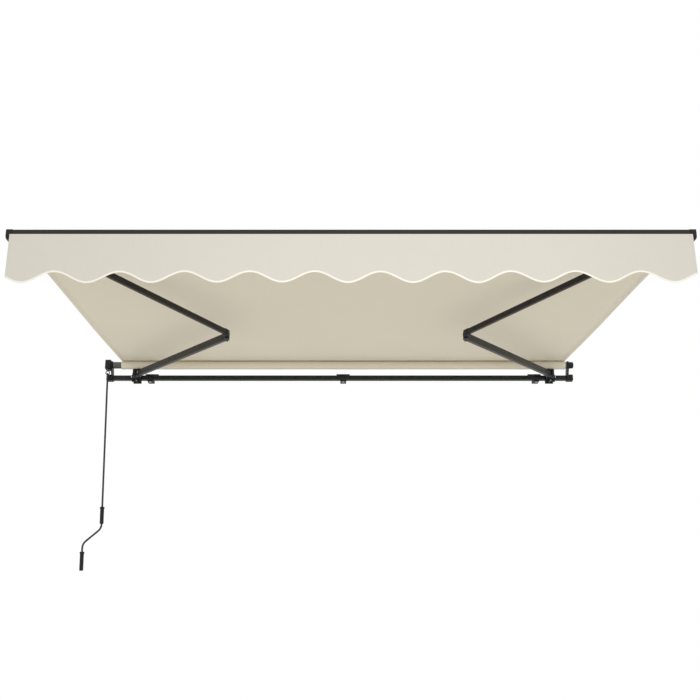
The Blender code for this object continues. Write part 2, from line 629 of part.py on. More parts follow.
def build_front_cap(side, sign, middle, parent):
    end = middle + sign * (FRONT_HALF + CAP_END)
    lap = middle + sign * (FRONT_HALF - CAP_LAP)
    stop = middle + sign * (FRONT_HALF + GAP)
    beyond = lap - sign * 0.01
    cap = prism(front_outline(CAP_WALL), "X", min(end, lap), max(end, lap))
    mouth = prism(front_outline(GAP), "X", min(beyond, stop), max(beyond, stop))
    part(f"front_cap_{side}", BLACK_PLASTIC, [cap], [mouth], parent)


def build_wrist(side, x, parent):
    """The bracket on the back of the front bar, with two ears round the outer arm's end, and the pin."""
    foot = box((x - 0.028, FRONT_REAR + GAP, -0.0200), (x + 0.028, FRONT_REAR + 0.0063, 0.0160))
    root = [(-0.018, FRONT_REAR + 0.004), (0.018, FRONT_REAR + 0.004)]
    ear = [(a + x, b) for a, b in hull(circle((0, 0), 0.0130, 24) + root)]
    solids = [foot, prism(ear, "Z", 0.0084, 0.0144), prism(ear, "Z", -0.0184, -0.0124)]
    part(f"wrist_bracket_{side}", CAST_BLACK, solids, [rod("Z", (x, 0), 0.0063, -0.05, 0.05, 20)], parent)
    radius = ELBOW_PIN_RADIUS
    profile = [(-0.0215, 0.0045), (-0.0200, radius), (0.0147, radius), (0.0147, 0.0090), (0.0170, 0.0090)]
    part(f"wrist_pin_{side}", BRIGHT_STEEL, [turned(profile, "Z", (x, 0), 20)], (), parent)


def valance_drop(x):
    """How far the lower edge hangs below the top edge: a smooth wave."""
    mean = (VALANCE_PEAK + VALANCE_LOW) / 2
    swing = (VALANCE_LOW - VALANCE_PEAK) / 2
    return mean + swing * math.cos(2 * math.pi * (x - WAVE_FIRST_LOW) / WAVE_PERIOD)


def build_valance(parent, middle, front):
    half = FABRIC_WIDTH / 2
    steps = 120
    outline = [(half, 0.0), (-half, 0.0)]
    outline += [(x, -valance_drop(x)) for x in (-half + 2 * half * step / steps for step in range(steps + 1))]
    shape = prism(outline, "Y", -FABRIC_THICKNESS, 0)
    top = Matrix.Translation((middle, front - VALANCE_STAND_OFF, VALANCE_TOP))
    place = top @ Matrix.Rotation(-PITCH, 4, "X")
    part("valance", CANVAS, [moved(shape, place)], (), parent)


def build_canopy(pitch):
    """The stretched sheet from the top of the roll to the slot on top of the front bar."""
    start = Vector((ROLLER_Y - PITCH_Y, ROLLER_Z))
    start.rotate(Matrix.Rotation(-PITCH, 2))
    front = -SHOULDER_REACH - REACH + FRONT_REAR - CANOPY_SLOT_BACK
    end_z = SHOULDER_RISE + FRONT_TOP + CAP_WALL + GAP
    slope = math.atan2(start.y + ROLL_RADIUS + GAP - end_z, start.x - front)
    lift = ROLL_RADIUS + GAP
    tangent = (start.x - lift * math.sin(slope), start.y + lift * math.cos(slope))
    slope = math.atan2(tangent[1] - end_z, tangent[0] - front)
    normal = (-math.sin(slope) * FABRIC_THICKNESS, math.cos(slope) * FABRIC_THICKNESS)
    upper = [(front + normal[0], end_z + normal[1]), (tangent[0] + normal[0], tangent[1] + normal[1])]
    outline = [tangent, (front, end_z), *upper]
    middle = SHOULDER_X
    half = FABRIC_WIDTH / 2
    part("canopy", CANVAS, [prism(outline, "X", middle - half, middle + half)], (), pitch)


def build_arms():
    for side, sign in (("left", -1), ("right", 1)):
        mount = empty(f"shoulder_mount_{side}", (sign * SHOULDER_X, PITCH_Y, 0))
        pitch = empty(f"pitch_axis_{side}", (sign * SHOULDER_X, PITCH_Y, 0), (PITCH, 0, 0))
        build_shoulder(side, mount, pitch)
        heading = -math.pi / 2 - sign * ARM_ANGLE
        shoulder = empty(f"shoulder_axis_{side}", (0, -SHOULDER_REACH, SHOULDER_RISE), (0, 0, heading), pitch)
        build_inner_arm(side, -sign, shoulder)
        bend = 2 * sign * ARM_ANGLE
        elbow = empty(f"elbow_axis_{side}", (ARM_LENGTH, 0, -ELBOW_DROP), (0, 0, bend), shoulder)
        build_outer_arm(side, -sign, elbow)
        if side == "left":
            straighten = math.pi / 2 - sign * ARM_ANGLE
            wrist = empty("wrist_axis_left", (ARM_LENGTH, 0, ELBOW_DROP), (0, 0, straighten), elbow)
            build_front(wrist)
            build_canopy(pitch)


def main():
    clear_scene()
    build_torsion_bar()
    for name, x in WALL_BRACKETS:
        build_wall_bracket(name, x)
    build_end_brackets()
    build_gear()
    build_roller()
    hinge = empty("crank_axis", (GEAR_X, WORM_Y, EYE_Z - EYE_RADIUS), (0, -CRANK_LEAN, 0))
    build_crank(hinge)
    build_arms()


main()
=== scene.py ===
import json
import math

import bmesh
import bpy
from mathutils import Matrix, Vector


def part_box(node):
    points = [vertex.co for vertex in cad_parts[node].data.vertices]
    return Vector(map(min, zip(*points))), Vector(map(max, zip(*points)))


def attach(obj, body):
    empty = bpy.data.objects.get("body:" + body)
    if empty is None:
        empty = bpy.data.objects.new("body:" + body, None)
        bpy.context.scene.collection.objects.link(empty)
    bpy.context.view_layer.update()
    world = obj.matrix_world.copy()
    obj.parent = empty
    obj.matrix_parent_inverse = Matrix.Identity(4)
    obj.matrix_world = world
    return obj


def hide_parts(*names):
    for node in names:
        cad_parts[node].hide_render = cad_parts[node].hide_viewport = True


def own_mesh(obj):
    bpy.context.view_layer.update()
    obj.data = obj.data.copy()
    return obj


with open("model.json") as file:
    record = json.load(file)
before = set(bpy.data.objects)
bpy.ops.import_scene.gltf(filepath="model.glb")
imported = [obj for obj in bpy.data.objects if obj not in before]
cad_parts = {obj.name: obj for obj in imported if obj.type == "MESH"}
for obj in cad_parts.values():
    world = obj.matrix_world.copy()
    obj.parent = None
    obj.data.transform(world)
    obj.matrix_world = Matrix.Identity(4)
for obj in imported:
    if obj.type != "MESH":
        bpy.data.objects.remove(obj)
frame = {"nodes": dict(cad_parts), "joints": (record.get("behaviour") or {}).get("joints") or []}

for leftover in ("Cube", "Light", "Camera"):
    if leftover in bpy.data.objects:
        bpy.data.objects.remove(bpy.data.objects[leftover])
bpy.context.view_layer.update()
nodes = frame["nodes"]
joints = {joint["name"]: joint for joint in frame["joints"]}
ACROSS = Vector((1, 0, 0))


# Cast parts: brackets, blocks, forks, tongues and the gear case are die-cast aluminium with a
# black powder coat. They clamp the square bar, carry the roller and end the arms' tubes. The
# coat is finely pitted, soft at the edges and a little paler there, where it is thinnest.
def add(tree, kind, inputs=(), **settings):
    """A node of this kind. inputs are pairs: a socket, and its value or the socket that feeds it."""
    node = tree.nodes.new(kind)
    for label, value in settings.items():
        setattr(node, label, value)
    for socket, value in inputs:
        if isinstance(value, bpy.types.NodeSocket):
            tree.links.new(value, node.inputs[socket])
        else:
            node.inputs[socket].default_value = value
    return node


def node_group(kind, name, inputs, outputs):
    """A node group with named sockets: inputs are (name, socket type, default), outputs (name, type)."""
    tree = bpy.data.node_groups.new(name, kind)
    for label, socket, default in inputs:
        made = tree.interface.new_socket(label, in_out="INPUT", socket_type=socket)
        if default is not None:
            made.default_value = default
    for label, socket in outputs:
        tree.interface.new_socket(label, in_out="OUTPUT", socket_type=socket)
    return tree, tree.nodes.new("NodeGroupInput").outputs, tree.nodes.new("NodeGroupOutput").inputs


def grain_effect():
    """Fine pits and a broad mottle: Height runs from 0 to 1, and Shade stays near 1."""
    tree, given, result = node_group(
        "ShaderNodeTree", "grain",
        [("Size", "NodeSocketFloat", 0.001), ("Mottle", "NodeSocketFloat", 0.2)],
        [("Height", "NodeSocketFloat"), ("Shade", "NodeSocketFloat")],
    )
    place = add(tree, "ShaderNodeTexCoord").outputs["Object"]
    scale = add(tree, "ShaderNodeMath", [(0, 1.0), (1, given["Size"])], operation="DIVIDE").outputs[0]
    fine = add(tree, "ShaderNodeTexNoise", [("Vector", place), ("Scale", scale), ("Detail", 2.0)])
    broad = add(tree, "ShaderNodeTexNoise", [("Vector", place), ("Scale", 14.0), ("Detail", 4.0)])
    swing = add(tree, "ShaderNodeMath", [(0, broad.outputs[0]), (1, 0.5)], operation="SUBTRACT").outputs[0]
    mottled = [(0, swing), (1, given["Mottle"]), (2, 1.0)]
    shade = add(tree, "ShaderNodeMath", mottled, operation="MULTIPLY_ADD").outputs[0]
    tree.links.new(fine.outputs[0], result["Height"])
    tree.links.new(shade, result["Shade"])
    return tree


def soft_edge_effect():
    """The normal rounded over each sharp edge, and a mask that is 1 along the edges."""
    tree, given, result = node_group(
        "ShaderNodeTree", "soft_edges", [("Radius", "NodeSocketFloat", 0.001)],
        [("Normal", "NodeSocketVector"), ("Mask", "NodeSocketFloat")],
    )
    rounded = add(tree, "ShaderNodeBevel", [("Radius", given["Radius"])], samples=4).outputs[0]
    flat = add(tree, "ShaderNodeNewGeometry").outputs["True Normal"]
    match = add(tree, "ShaderNodeVectorMath", [(0, rounded), (1, flat)], operation="DOT_PRODUCT")
    limits = [("From Min", 0.995), ("From Max", 0.85), ("To Min", 0.0), ("To Max", 1.0)]
    mask = add(tree, "ShaderNodeMapRange", [("Value", match.outputs["Value"]), *limits]).outputs[0]
    tree.links.new(rounded, result["Normal"])
    tree.links.new(mask, result["Mask"])
    return tree


grain = grain_effect()
soft_edges = soft_edge_effect()


def hard_finish(name, colour, edge, roughness, grain_size, depth, metallic=0.0, mottle=0.25):
    """A coat, metal or plastic: its colour, its edges' colour, and its grain's size and depth in metres."""
    made = bpy.data.materials.new(name)
    made.use_nodes = True
    tree = made.node_tree
    shader = tree.nodes["Principled BSDF"].inputs
    skin = add(tree, "ShaderNodeGroup", node_tree=grain)
    skin.inputs["Size"].default_value = grain_size
    skin.inputs["Mottle"].default_value = mottle
    edges = add(tree, "ShaderNodeGroup", node_tree=soft_edges)
    edges.inputs["Radius"].default_value = 0.0008
    shade = [(0, colour), ("Scale", skin.outputs["Shade"])]
    tinted = add(tree, "ShaderNodeVectorMath", shade, operation="SCALE").outputs[0]
    mixed = [(0, edges.outputs["Mask"]), (6, tinted), (7, (*edge, 1.0))]
    worn = add(tree, "ShaderNodeMix", mixed, data_type="RGBA")
    rough = add(tree, "ShaderNodeMath", [(0, skin.outputs["Shade"]), (1, roughness)], operation="MULTIPLY")
    relief = [("Distance", depth), ("Height", skin.outputs["Height"]), ("Normal", edges.outputs["Normal"])]
    bump = add(tree, "ShaderNodeBump", relief)
    tree.links.new(worn.outputs[2], shader["Base Color"])
    tree.links.new(rough.outputs[0], shader["Roughness"])
    tree.links.new(bump.outputs[0], shader["Normal"])
    shader["Metallic"].default_value = metallic
    shader["Specular IOR Level"].default_value = 0.22
    return made


def finish_nodes(material, slot):
    """Gives the material to every CAD node that wears the record's slot of this name."""
    for node in nodes.values():
        if node.data.materials[0].name == slot:
            node.data.materials[0] = material


cast_black = hard_finish("cast_coat", (0.013, 0.013, 0.013), (0.045, 0.045, 0.045), 0.48, 0.0012, 0.00012)
finish_nodes(cast_black, "cast_black")


# Torsion bar: a 35 mm square steel tube, powder coated dark grey, that every bracket clamps.
# The coat is smoother than on the castings, with a slight orange peel.
bar_coat = hard_finish("bar_coat", (0.017, 0.019, 0.020), (0.050, 0.052, 0.054), 0.40, 0.0030, 0.00005)
finish_nodes(bar_coat, "dark_steel")


# Arms and front bar: extruded aluminium with a warm dark-grey powder coat.
arm_coat = hard_finish("arm_coat", (0.022, 0.019, 0.016), (0.060, 0.055, 0.048), 0.42, 0.0025, 0.00005)
finish_nodes(arm_coat, "dark_aluminium")


# Bolts, springs and the worm wheel: zinc-plated steel, turned or cold-headed.
zinc = hard_finish(
    "zinc_plate", (0.50, 0.50, 0.51), (0.66, 0.66, 0.67), 0.34, 0.0020, 0.00003, metallic=1.0, mottle=0.35,
)
finish_nodes(zinc, "bright_steel")


# Roller tube and worm: galvanised steel, duller than the fasteners.
galvanised = hard_finish(
    "galvanised", (0.115, 0.115, 0.115), (0.20, 0.20, 0.20), 0.45, 0.0060, 0.00004, metallic=0.7, mottle=0.5,
)
finish_nodes(galvanised, "grey_steel")


# Crank: a bent steel rod under a dark lacquer.
dark_lacquer = hard_finish(
    "dark_lacquer", (0.045, 0.045, 0.045), (0.10, 0.10, 0.10), 0.42, 0.0060, 0.00004, metallic=0.3,
)
nodes["crank_rod"].data.materials[0] = dark_lacquer


# Pivot pins of the arms: zinc plate passivated black, so they hardly show against the castings.
black_zinc = hard_finish("black_zinc", (0.030, 0.030, 0.030), (0.08, 0.08, 0.08), 0.38, 0.0020, 0.00003)
for side in ("left", "right"):
    for pin in ("shoulder_pin", "elbow_pin", "wrist_pin"):
        nodes[f"{pin}_{side}"].data.materials[0] = black_zinc


# End caps, gear cover, roller plugs and crank grips: moulded black plastic with a fine spark
# texture. The idler's bush is white nylon.
black_plastic = hard_finish("moulded_black", (0.011, 0.011, 0.012), (0.04, 0.04, 0.04), 0.42, 0.0006, 0.00005)
finish_nodes(black_plastic, "black_plastic")
nylon = hard_finish("natural_nylon", (0.60, 0.59, 0.56), (0.70, 0.69, 0.66), 0.50, 0.0010, 0.00004)
finish_nodes(nylon, "white_nylon")


# Screws and rivets: small round heads on washers, in steel, that hold the gear cover, the front
# bar's caps, the castings in the arm tubes and the wrist brackets. Each head stands on a point
# and faces the way its attribute says.
def facing_turn(tree):
    """The rotation that turns an instance's Z axis to the points' facing attribute."""
    facing = add(tree, "GeometryNodeInputNamedAttribute", [("Name", "facing")], data_type="FLOAT_VECTOR")
    aligned = [("Vector", facing.outputs[0])]
    return add(tree, "FunctionNodeAlignRotationToVector", aligned, axis="Z").outputs[0]


def lay_copies(tree, given, result, placed):
    """Ends a geometry tree: instances on points, as placed says, made real and given their material."""
    copies = add(tree, "GeometryNodeInstanceOnPoints", placed)
    real = add(tree, "GeometryNodeRealizeInstances", [("Geometry", copies.outputs[0])])
    coloured = [("Geometry", real.outputs[0]), ("Material", given["Material"])]
    tree.links.new(add(tree, "GeometryNodeSetMaterial", coloured).outputs[0], result["Geometry"])


def head_tree():
    """Geometry nodes: a screw head on a washer at each point, facing along the facing attribute."""
    tree, given, result = node_group(
        "GeometryNodeTree", "screw_heads",
        [("Geometry", "NodeSocketGeometry", None), ("Radius", "NodeSocketFloat", 0.003),
         ("Height", "NodeSocketFloat", 0.0015), ("Material", "NodeSocketMaterial", None)],
        [("Geometry", "NodeSocketGeometry")],
    )
    wide = add(tree, "ShaderNodeMath", [(0, given["Radius"]), (1, 1.5)], operation="MULTIPLY").outputs[0]
    thin = add(tree, "ShaderNodeMath", [(0, given["Height"]), (1, 0.5)], operation="MULTIPLY").outputs[0]
    washer = add(tree, "GeometryNodeMeshCylinder", [("Vertices", 20), ("Radius", wide), ("Depth", thin)])
    tapered = [("Vertices", 16), ("Radius Bottom", given["Radius"]), ("Depth", given["Height"])]
    narrow = add(tree, "ShaderNodeMath", [(0, given["Radius"]), (1, 0.7)], operation="MULTIPLY").outputs[0]
    head = add(tree, "GeometryNodeMeshCone", [*tapered, ("Radius Top", narrow)])
    joined = add(tree, "GeometryNodeJoinGeometry")
    tree.links.new(washer.outputs["Mesh"], joined.inputs[0])
    tree.links.new(head.outputs["Mesh"], joined.inputs[0])
    turn = facing_turn(tree)
    placed = [("Points", given["Geometry"]), ("Instance", joined.outputs[0]), ("Rotation", turn)]
    lay_copies(tree, given, result, placed)
    return tree


def grow(name, source, tree, values):
    """The plain mesh that a geometry tree makes from a source mesh, as a new object at the origin."""
    guide = bpy.data.objects.new(name + "_guide", source)
    bpy.context.scene.collection.objects.link(guide)
    modifier = guide.modifiers.new("grow", "NODES")
    modifier.node_group = tree
    for item in tree.interface.items_tree:
        if item.in_out == "INPUT" and item.name in values:
            modifier[item.identifier] = values[item.name]
    graph = bpy.context.evaluated_depsgraph_get()
    mesh = bpy.data.meshes.new_from_object(guide.evaluated_get(graph))
    bpy.data.objects.remove(guide)
    mesh.name = name
    made = bpy.data.objects.new(name, mesh)
    bpy.context.scene.collection.objects.link(made)
    return made


def facing_points(name, places):
    """A mesh of points alone, each with its facing attribute: places are (point, way) pairs."""
    points = bpy.data.meshes.new(name)
    points.from_pydata([place for place, _ in places], [], [])
    facing = points.attributes.new("facing", "FLOAT_VECTOR", "POINT")
    facing.data.foreach_set("vector", [number for _, way in places for number in way])
    return points


def heads(name, places, radius, height, material, body):
    """Screw heads that ride on a body: places are pairs of a point and the way its head faces."""
    points = facing_points(name, places)
    made = grow(name, points, screw_heads, {"Radius": radius, "Height": height, "Material": material})
    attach(made, body)
    return made


screw_heads = head_tree()
cover_low, cover_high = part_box("gear_cover")
inset = 0.009
corners = [
    Vector((cover_low.x, y, z))
    for y in (cover_low.y + inset, cover_high.y - inset) for z in (cover_low.z + inset, cover_high.z - inset)
]
cover_places = [(corner, -ACROSS) for corner in corners]
heads("gear_cover_screws", cover_places, 0.0028, 0.0014, zinc, "root")

out = Vector((0, -joints["fold_shoulder_left"]["axis"][2], joints["fold_shoulder_left"]["axis"][1]))
up = Vector(joints["fold_shoulder_left"]["axis"])
for side, sign in (("left", -1), ("right", 1)):
    low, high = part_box(f"front_cap_{side}")
    end = high.x if sign > 0 else low.x
    middle = (low + high) / 2
    pair = [Vector((end, middle.y, middle.z)) + out * shift for shift in (-0.012, 0.012)]
    heads(f"front_cap_screws_{side}", [(place, ACROSS * sign) for place in pair], 0.0026, 0.0013,
          zinc, "front")

# Rivets through the arms' tubes into the castings plugged in their ends, two at each end.
TUBE_OFFSET = 0.020
TUBE_DROP = 0.008
INNER_HALF, OUTER_HALF = 0.014, 0.012
RIVET_STATIONS = (0.072, 0.090)
for side, sign in (("left", -1), ("right", 1)):
    shoulder = Vector(joints[f"fold_shoulder_{side}"]["pos_m"])
    elbow = Vector(joints[f"fold_elbow_{side}"]["pos_m"])
    wrist = Vector(joints["fold_wrist_left"]["pos_m"]) - up * TUBE_DROP
    wrist.x = shoulder.x
    tubes = (("inner", shoulder, elbow, INNER_HALF), ("outer", elbow, wrist, OUTER_HALF))
    for body, start, end, half in tubes:
        along = (end - start).normalized()
        towards_middle = up.cross(along).normalized()
        if towards_middle.x * sign > 0:
            towards_middle = -towards_middle
        centre = towards_middle * TUBE_OFFSET
        places = []
        for station in RIVET_STATIONS:
            for place in (start + along * station, end - along * station):
                for face in (-1, 1):
                    way = towards_middle * face
                    places.append((place + centre + way * half, way))
        name = f"{body}_arm_rivets_{side}"
        heads(name, places, 0.0030, 0.0012, arm_coat, f"{body}_{side}")


# Canvas: cream awning acrylic in a plain weave. Its threads and slubs follow the
# cloth's own UV map, which is in metres along the warp and the weft. The stretched sheet is painted
# brighter than the hanging strip, as painted light in place of the daylight that comes through it
# from above; the hanging strip is the same cloth painted greyer, as painted shade.
def weave_effect():
    """A plain weave on UV: Height of the threads, and Shade for the slubs and a slight cloudiness."""
    tree, given, result = node_group(
        "ShaderNodeTree", "weave", [("Thread", "NodeSocketFloat", 0.0006), ("Slub", "NodeSocketFloat", 0.04)],
        [("Height", "NodeSocketFloat"), ("Shade", "NodeSocketFloat")],
    )
    uv = add(tree, "ShaderNodeUVMap", uv_map="UVMap").outputs[0]
    apart = add(tree, "ShaderNodeSeparateXYZ", [(0, uv)]).outputs
    turns = add(tree, "ShaderNodeMath", [(0, math.pi), (1, given["Thread"])], operation="DIVIDE").outputs[0]
    waves = []
    for number in (apart[0], apart[1]):
        angle = add(tree, "ShaderNodeMath", [(0, number), (1, turns)], operation="MULTIPLY").outputs[0]
        waves.append(add(tree, "ShaderNodeMath", [(0, angle)], operation="SINE").outputs[0])
    woven = add(tree, "ShaderNodeMath", [(0, waves[0]), (1, waves[1])], operation="MULTIPLY").outputs[0]
    halved = [(0, woven), (1, 0.5), (2, 0.5)]
    height = add(tree, "ShaderNodeMath", halved, operation="MULTIPLY_ADD").outputs[0]
    streaks = []
    for stretch in ((9.0, 700.0, 0.0), (700.0, 9.0, 0.0)):
        lines = add(tree, "ShaderNodeMapping", [("Vector", uv), ("Scale", stretch)]).outputs[0]
        streaks.append(add(tree, "ShaderNodeTexNoise", [("Vector", lines), ("Scale", 1.0), ("Detail", 1.0)]))
    both = [(0, streaks[0].outputs[0]), (1, streaks[1].outputs[0])]
    slubs = add(tree, "ShaderNodeMath", both, operation="ADD").outputs[0]
    swing = add(tree, "ShaderNodeMath", [(0, slubs), (1, 1.0)], operation="SUBTRACT").outputs[0]
    cloud = add(tree, "ShaderNodeTexNoise", [("Vector", uv), ("Scale", 1.6), ("Detail", 2.0)]).outputs[0]
    clouded = [(0, cloud), (1, 0.05), (2, 0.975)]
    drift = add(tree, "ShaderNodeMath", clouded, operation="MULTIPLY_ADD").outputs[0]
    mottled = [(0, swing), (1, given["Slub"]), (2, drift)]
    shade = add(tree, "ShaderNodeMath", mottled, operation="MULTIPLY_ADD").outputs[0]
    tree.links.new(height, result["Height"])
    tree.links.new(shade, result["Shade"])
    return tree


def cloth_finish(name, colour, thread):
    made = bpy.data.materials.new(name)
    made.use_nodes = True
    tree = made.node_tree
    shader = tree.nodes["Principled BSDF"].inputs
    cloth = add(tree, "ShaderNodeGroup", node_tree=weave)
    cloth.inputs["Thread"].default_value = thread
    cloth.inputs["Slub"].default_value = 0.06
    shade = [(0, colour), ("Scale", cloth.outputs["Shade"])]
    tinted = add(tree, "ShaderNodeVectorMath", shade, operation="SCALE").outputs[0]
    bump = add(tree, "ShaderNodeBump", [("Distance", 0.00012), ("Height", cloth.outputs["Height"])])
    tree.links.new(tinted, shader["Base Color"])
    tree.links.new(bump.outputs[0], shader["Normal"])
    shader["Roughness"].default_value = 0.85
    shader["Specular IOR Level"].default_value = 0.2
    shader["Sheen Weight"].default_value = 0.05
    return made


weave = weave_effect()
# One cloth in two colours: painted light on the stretched sheet, roll and keders, painted shade on the
# hanging strip.
canvas = cloth_finish("cream_canvas_painted_light", (0.745, 0.685, 0.55), 0.0006)
hanging_canvas_painted_shade = cloth_finish("hanging_canvas_painted_shade", (0.57, 0.545, 0.48), 0.0006)
tape = cloth_finish("bias_tape", (0.80, 0.77, 0.69), 0.0004)
thread_white = hard_finish("sewing_thread", (0.62, 0.58, 0.48), (0.66, 0.62, 0.52), 0.7, 0.0006, 0.00005)


# Fabric roll: the turns left on the tube with the awning open. The hems lie on each other at the
# ends, so the roll is a little thicker there, and its ends show the turns edge on.
def cloth_mesh(name, rows, material):
    """A mesh from a grid of points, rows of (point, (u, v)) pairs, with its UV map in metres."""
    shape = bmesh.new()
    layer = shape.loops.layers.uv.new("UVMap")
    grid = [[shape.verts.new(point) for point, _ in row] for row in rows]
    for j in range(len(rows) - 1):
        for i in range(len(rows[0]) - 1):
            around = ((j, i), (j, i + 1), (j + 1, i + 1), (j + 1, i))
            face = shape.faces.new([grid[a][b] for a, b in around])
            face.smooth = True
            for loop, (a, b) in zip(face.loops, around):
                loop[layer].uv = rows[a][b][1]
    mesh = bpy.data.meshes.new(name)
    shape.to_mesh(mesh)
    shape.free()
    mesh.materials.append(material)
    made = bpy.data.objects.new(name, mesh)
    bpy.context.scene.collection.objects.link(made)
    return made


def weld(piece, close_ends=True):
    """Joins a piece's touching points, fills its open ends and turns its faces outwards."""
    shape = bmesh.new()
    shape.from_mesh(piece.data)
    bmesh.ops.remove_doubles(shape, verts=shape.verts, dist=1e-6)
    if close_ends:
        bmesh.ops.holes_fill(shape, edges=[edge for edge in shape.edges if edge.is_boundary])
    bmesh.ops.recalc_face_normals(shape, faces=shape.faces)
    shape.to_mesh(piece.data)
    shape.free()


roll_low, roll_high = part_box("fabric_roll")
roll_axis = (roll_low + roll_high) / 2
roll_radius = (roll_high.z - roll_low.z) / 2
tube_radius = (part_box("roller_tube")[1].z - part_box("roller_tube")[0].z) / 2
HEM = 0.022
HEM_RISE = 0.0006
ROLL_SIDES = 72
half_width = (roll_high.x - roll_low.x) / 2
profile = [(-half_width, tube_radius + 0.0004)]
profile += [(-half_width, roll_radius + HEM_RISE * 0.4), (-half_width + 0.001, roll_radius + HEM_RISE)]
profile += [(-half_width + HEM, roll_radius + HEM_RISE), (-half_width + HEM + 0.004, roll_radius)]
profile += [(x / 40 * (half_width - HEM - 0.03), roll_radius) for x in range(-40, 41)]
profile += [(-x, radius) for x, radius in reversed(profile[:5])]
rows = []
for side in range(ROLL_SIDES + 1):
    angle = 2 * math.pi * (side % ROLL_SIDES) / ROLL_SIDES
    row = []
    for x, radius in profile:
        ripple = 0.00025 * math.sin(9 * x + 2 * math.cos(angle)) * (abs(x) < half_width - HEM)
        reach = radius + ripple
        back, rise = reach * math.cos(angle), reach * math.sin(angle)
        point = (roll_axis.x + x, roll_axis.y + back, roll_axis.z + rise)
        row.append((point, (x + radius, 2 * math.pi * roll_radius * side / ROLL_SIDES)))
    rows.append(row)
roll = cloth_mesh("wound_canvas", rows, canvas)
weld(roll, close_ends=False)
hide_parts("fabric_roll")
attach(roll, "roller")


# Canopy: one sheet 3.32 m wide, hemmed down both sides, that runs tight from the top of the roll
# to the slot in the front bar. It sags a little under its own weight and ripples along its length.
SHEET = 0.0011
SAG = 0.012
HEM_DEPTH = 0.0010
corner_points = [vertex.co.copy() for vertex in nodes["canopy"].data.vertices]
reach_out = [point.dot(out) for point in corner_points]
rear_edge = [p for p, reach in zip(corner_points, reach_out) if reach < min(reach_out) + 0.01]
front_edge = [p for p, reach in zip(corner_points, reach_out) if reach > max(reach_out) - 0.01]
rear = sum(rear_edge, Vector()) / len(rear_edge)
front = sum(front_edge, Vector()) / len(front_edge)
rear.x = front.x = roll_axis.x
run = (front - rear).length
along = (front - rear) / run
above = along.cross(ACROSS)
above = above if above.z > 0 else -above


def canopy_point(x, s, lift=0.0):
    """A point of the canopy: x from its middle, s from the roll, lift above its middle surface."""
    slack = 4 * s / run * (1 - s / run)
    edge = 1 - (x / half_width) ** 2
    ripple = 0.0016 * math.sin(7.3 * x + 1.1 * math.sin(2.1 * s))
    ripple += 0.0011 * math.sin(13.7 * x - 1.3 * s + 0.8)
    tug = 0.004 * math.exp(-(half_width - abs(x)) / 0.25) * math.sin(2.5 * math.pi * s / run)
    height = lift - slack * (SAG * (0.55 + 0.45 * edge) + ripple + tug * 0.5)
    return rear + ACROSS * x + along * s + above * height


columns = [-half_width, -half_width + 0.001, -half_width + HEM - 0.001, -half_width + HEM]
regular = 104
columns += [-half_width + HEM + (2 * half_width - 2 * HEM) * i / regular for i in range(1, regular)]
columns += [-x for x in reversed(columns[:4])]
stations = [run * j / 92 for j in range(93)]
canopy_rows = []
for s in stations:
    top, low = [], []
    for x in columns:
        hem = HEM_DEPTH * (abs(x) > half_width - HEM + 0.0005)
        uv = (x, s)
        top.append((canopy_point(x, s, SHEET / 2), uv))
        low.append((canopy_point(x, s, -SHEET / 2 - hem), uv))
    canopy_rows.append(top + low[::-1] + top[:1])
canopy = cloth_mesh("canopy_sheet", canopy_rows, canvas)
weld(canopy)
canopy.data.set_sharp_from_angle(angle=math.radians(50))
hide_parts("canopy")


# Stitches: lockstitch in cream thread, 4 mm long, in rows along the hems and the binding.
def stitch_tree():
    """Geometry nodes: one short thread after another along the source's edges."""
    tree, given, result = node_group(
        "GeometryNodeTree", "stitch_row",
        [("Geometry", "NodeSocketGeometry", None), ("Pitch", "NodeSocketFloat", 0.006),
         ("Length", "NodeSocketFloat", 0.004), ("Thickness", "NodeSocketFloat", 0.0004),
         ("Material", "NodeSocketMaterial", None)],
        [("Geometry", "NodeSocketGeometry")],
    )
    path = add(tree, "GeometryNodeMeshToCurve", [(0, given["Geometry"])]).outputs[0]
    spaced = [("Curve", path), ("Length", given["Pitch"])]
    dots = add(tree, "GeometryNodeCurveToPoints", spaced, mode="LENGTH")
    size = [("Vertices", 6), ("Radius", given["Thickness"]), ("Depth", given["Length"])]
    thread = add(tree, "GeometryNodeMeshCylinder", size, fill_type="NGON").outputs[0]
    placed = [("Points", dots.outputs["Points"]), ("Instance", thread)]
    placed += [("Rotation", dots.outputs["Rotation"])]
    lay_copies(tree, given, result, placed)
    return tree


def stitches(name, lines, pitch=0.007):
    """Rows of stitches along lines of points, as one mesh."""
    source = bpy.data.meshes.new(name)
    points, edges = [], []
    for line in lines:
        first = len(points)
        points += line
        edges += [(first + i, first + i + 1) for i in range(len(line) - 1)]
    source.from_pydata(points, edges, [])
    values = {"Pitch": pitch, "Length": pitch * 0.7, "Thickness": 0.00035, "Material": thread_white}
    made = grow(name, source, stitch_row, values)
    return made


stitch_row = stitch_tree()
seam = half_width - HEM + 0.003
hem_lines = [
    [canopy_point(x, s, face * SHEET / 2 - HEM_DEPTH * (face < 0)) for s in stations[1:-1]]
    for x in (-seam, seam, -half_width + 0.003, half_width - 0.003) for face in (-1, 1)
]
hem_stitches = stitches("hem_stitches", hem_lines)

# The canopy and its hem stitches get meshes of their own and ride on the left pitch body.
shoulder = Vector(joints["fold_shoulder_left"]["pos_m"])
elbow = Vector(joints["fold_elbow_left"]["pos_m"])
wrist = Vector(joints["fold_wrist_left"]["pos_m"])
for piece in (canopy, hem_stitches):
    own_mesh(piece)
    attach(piece, "pitch_left")


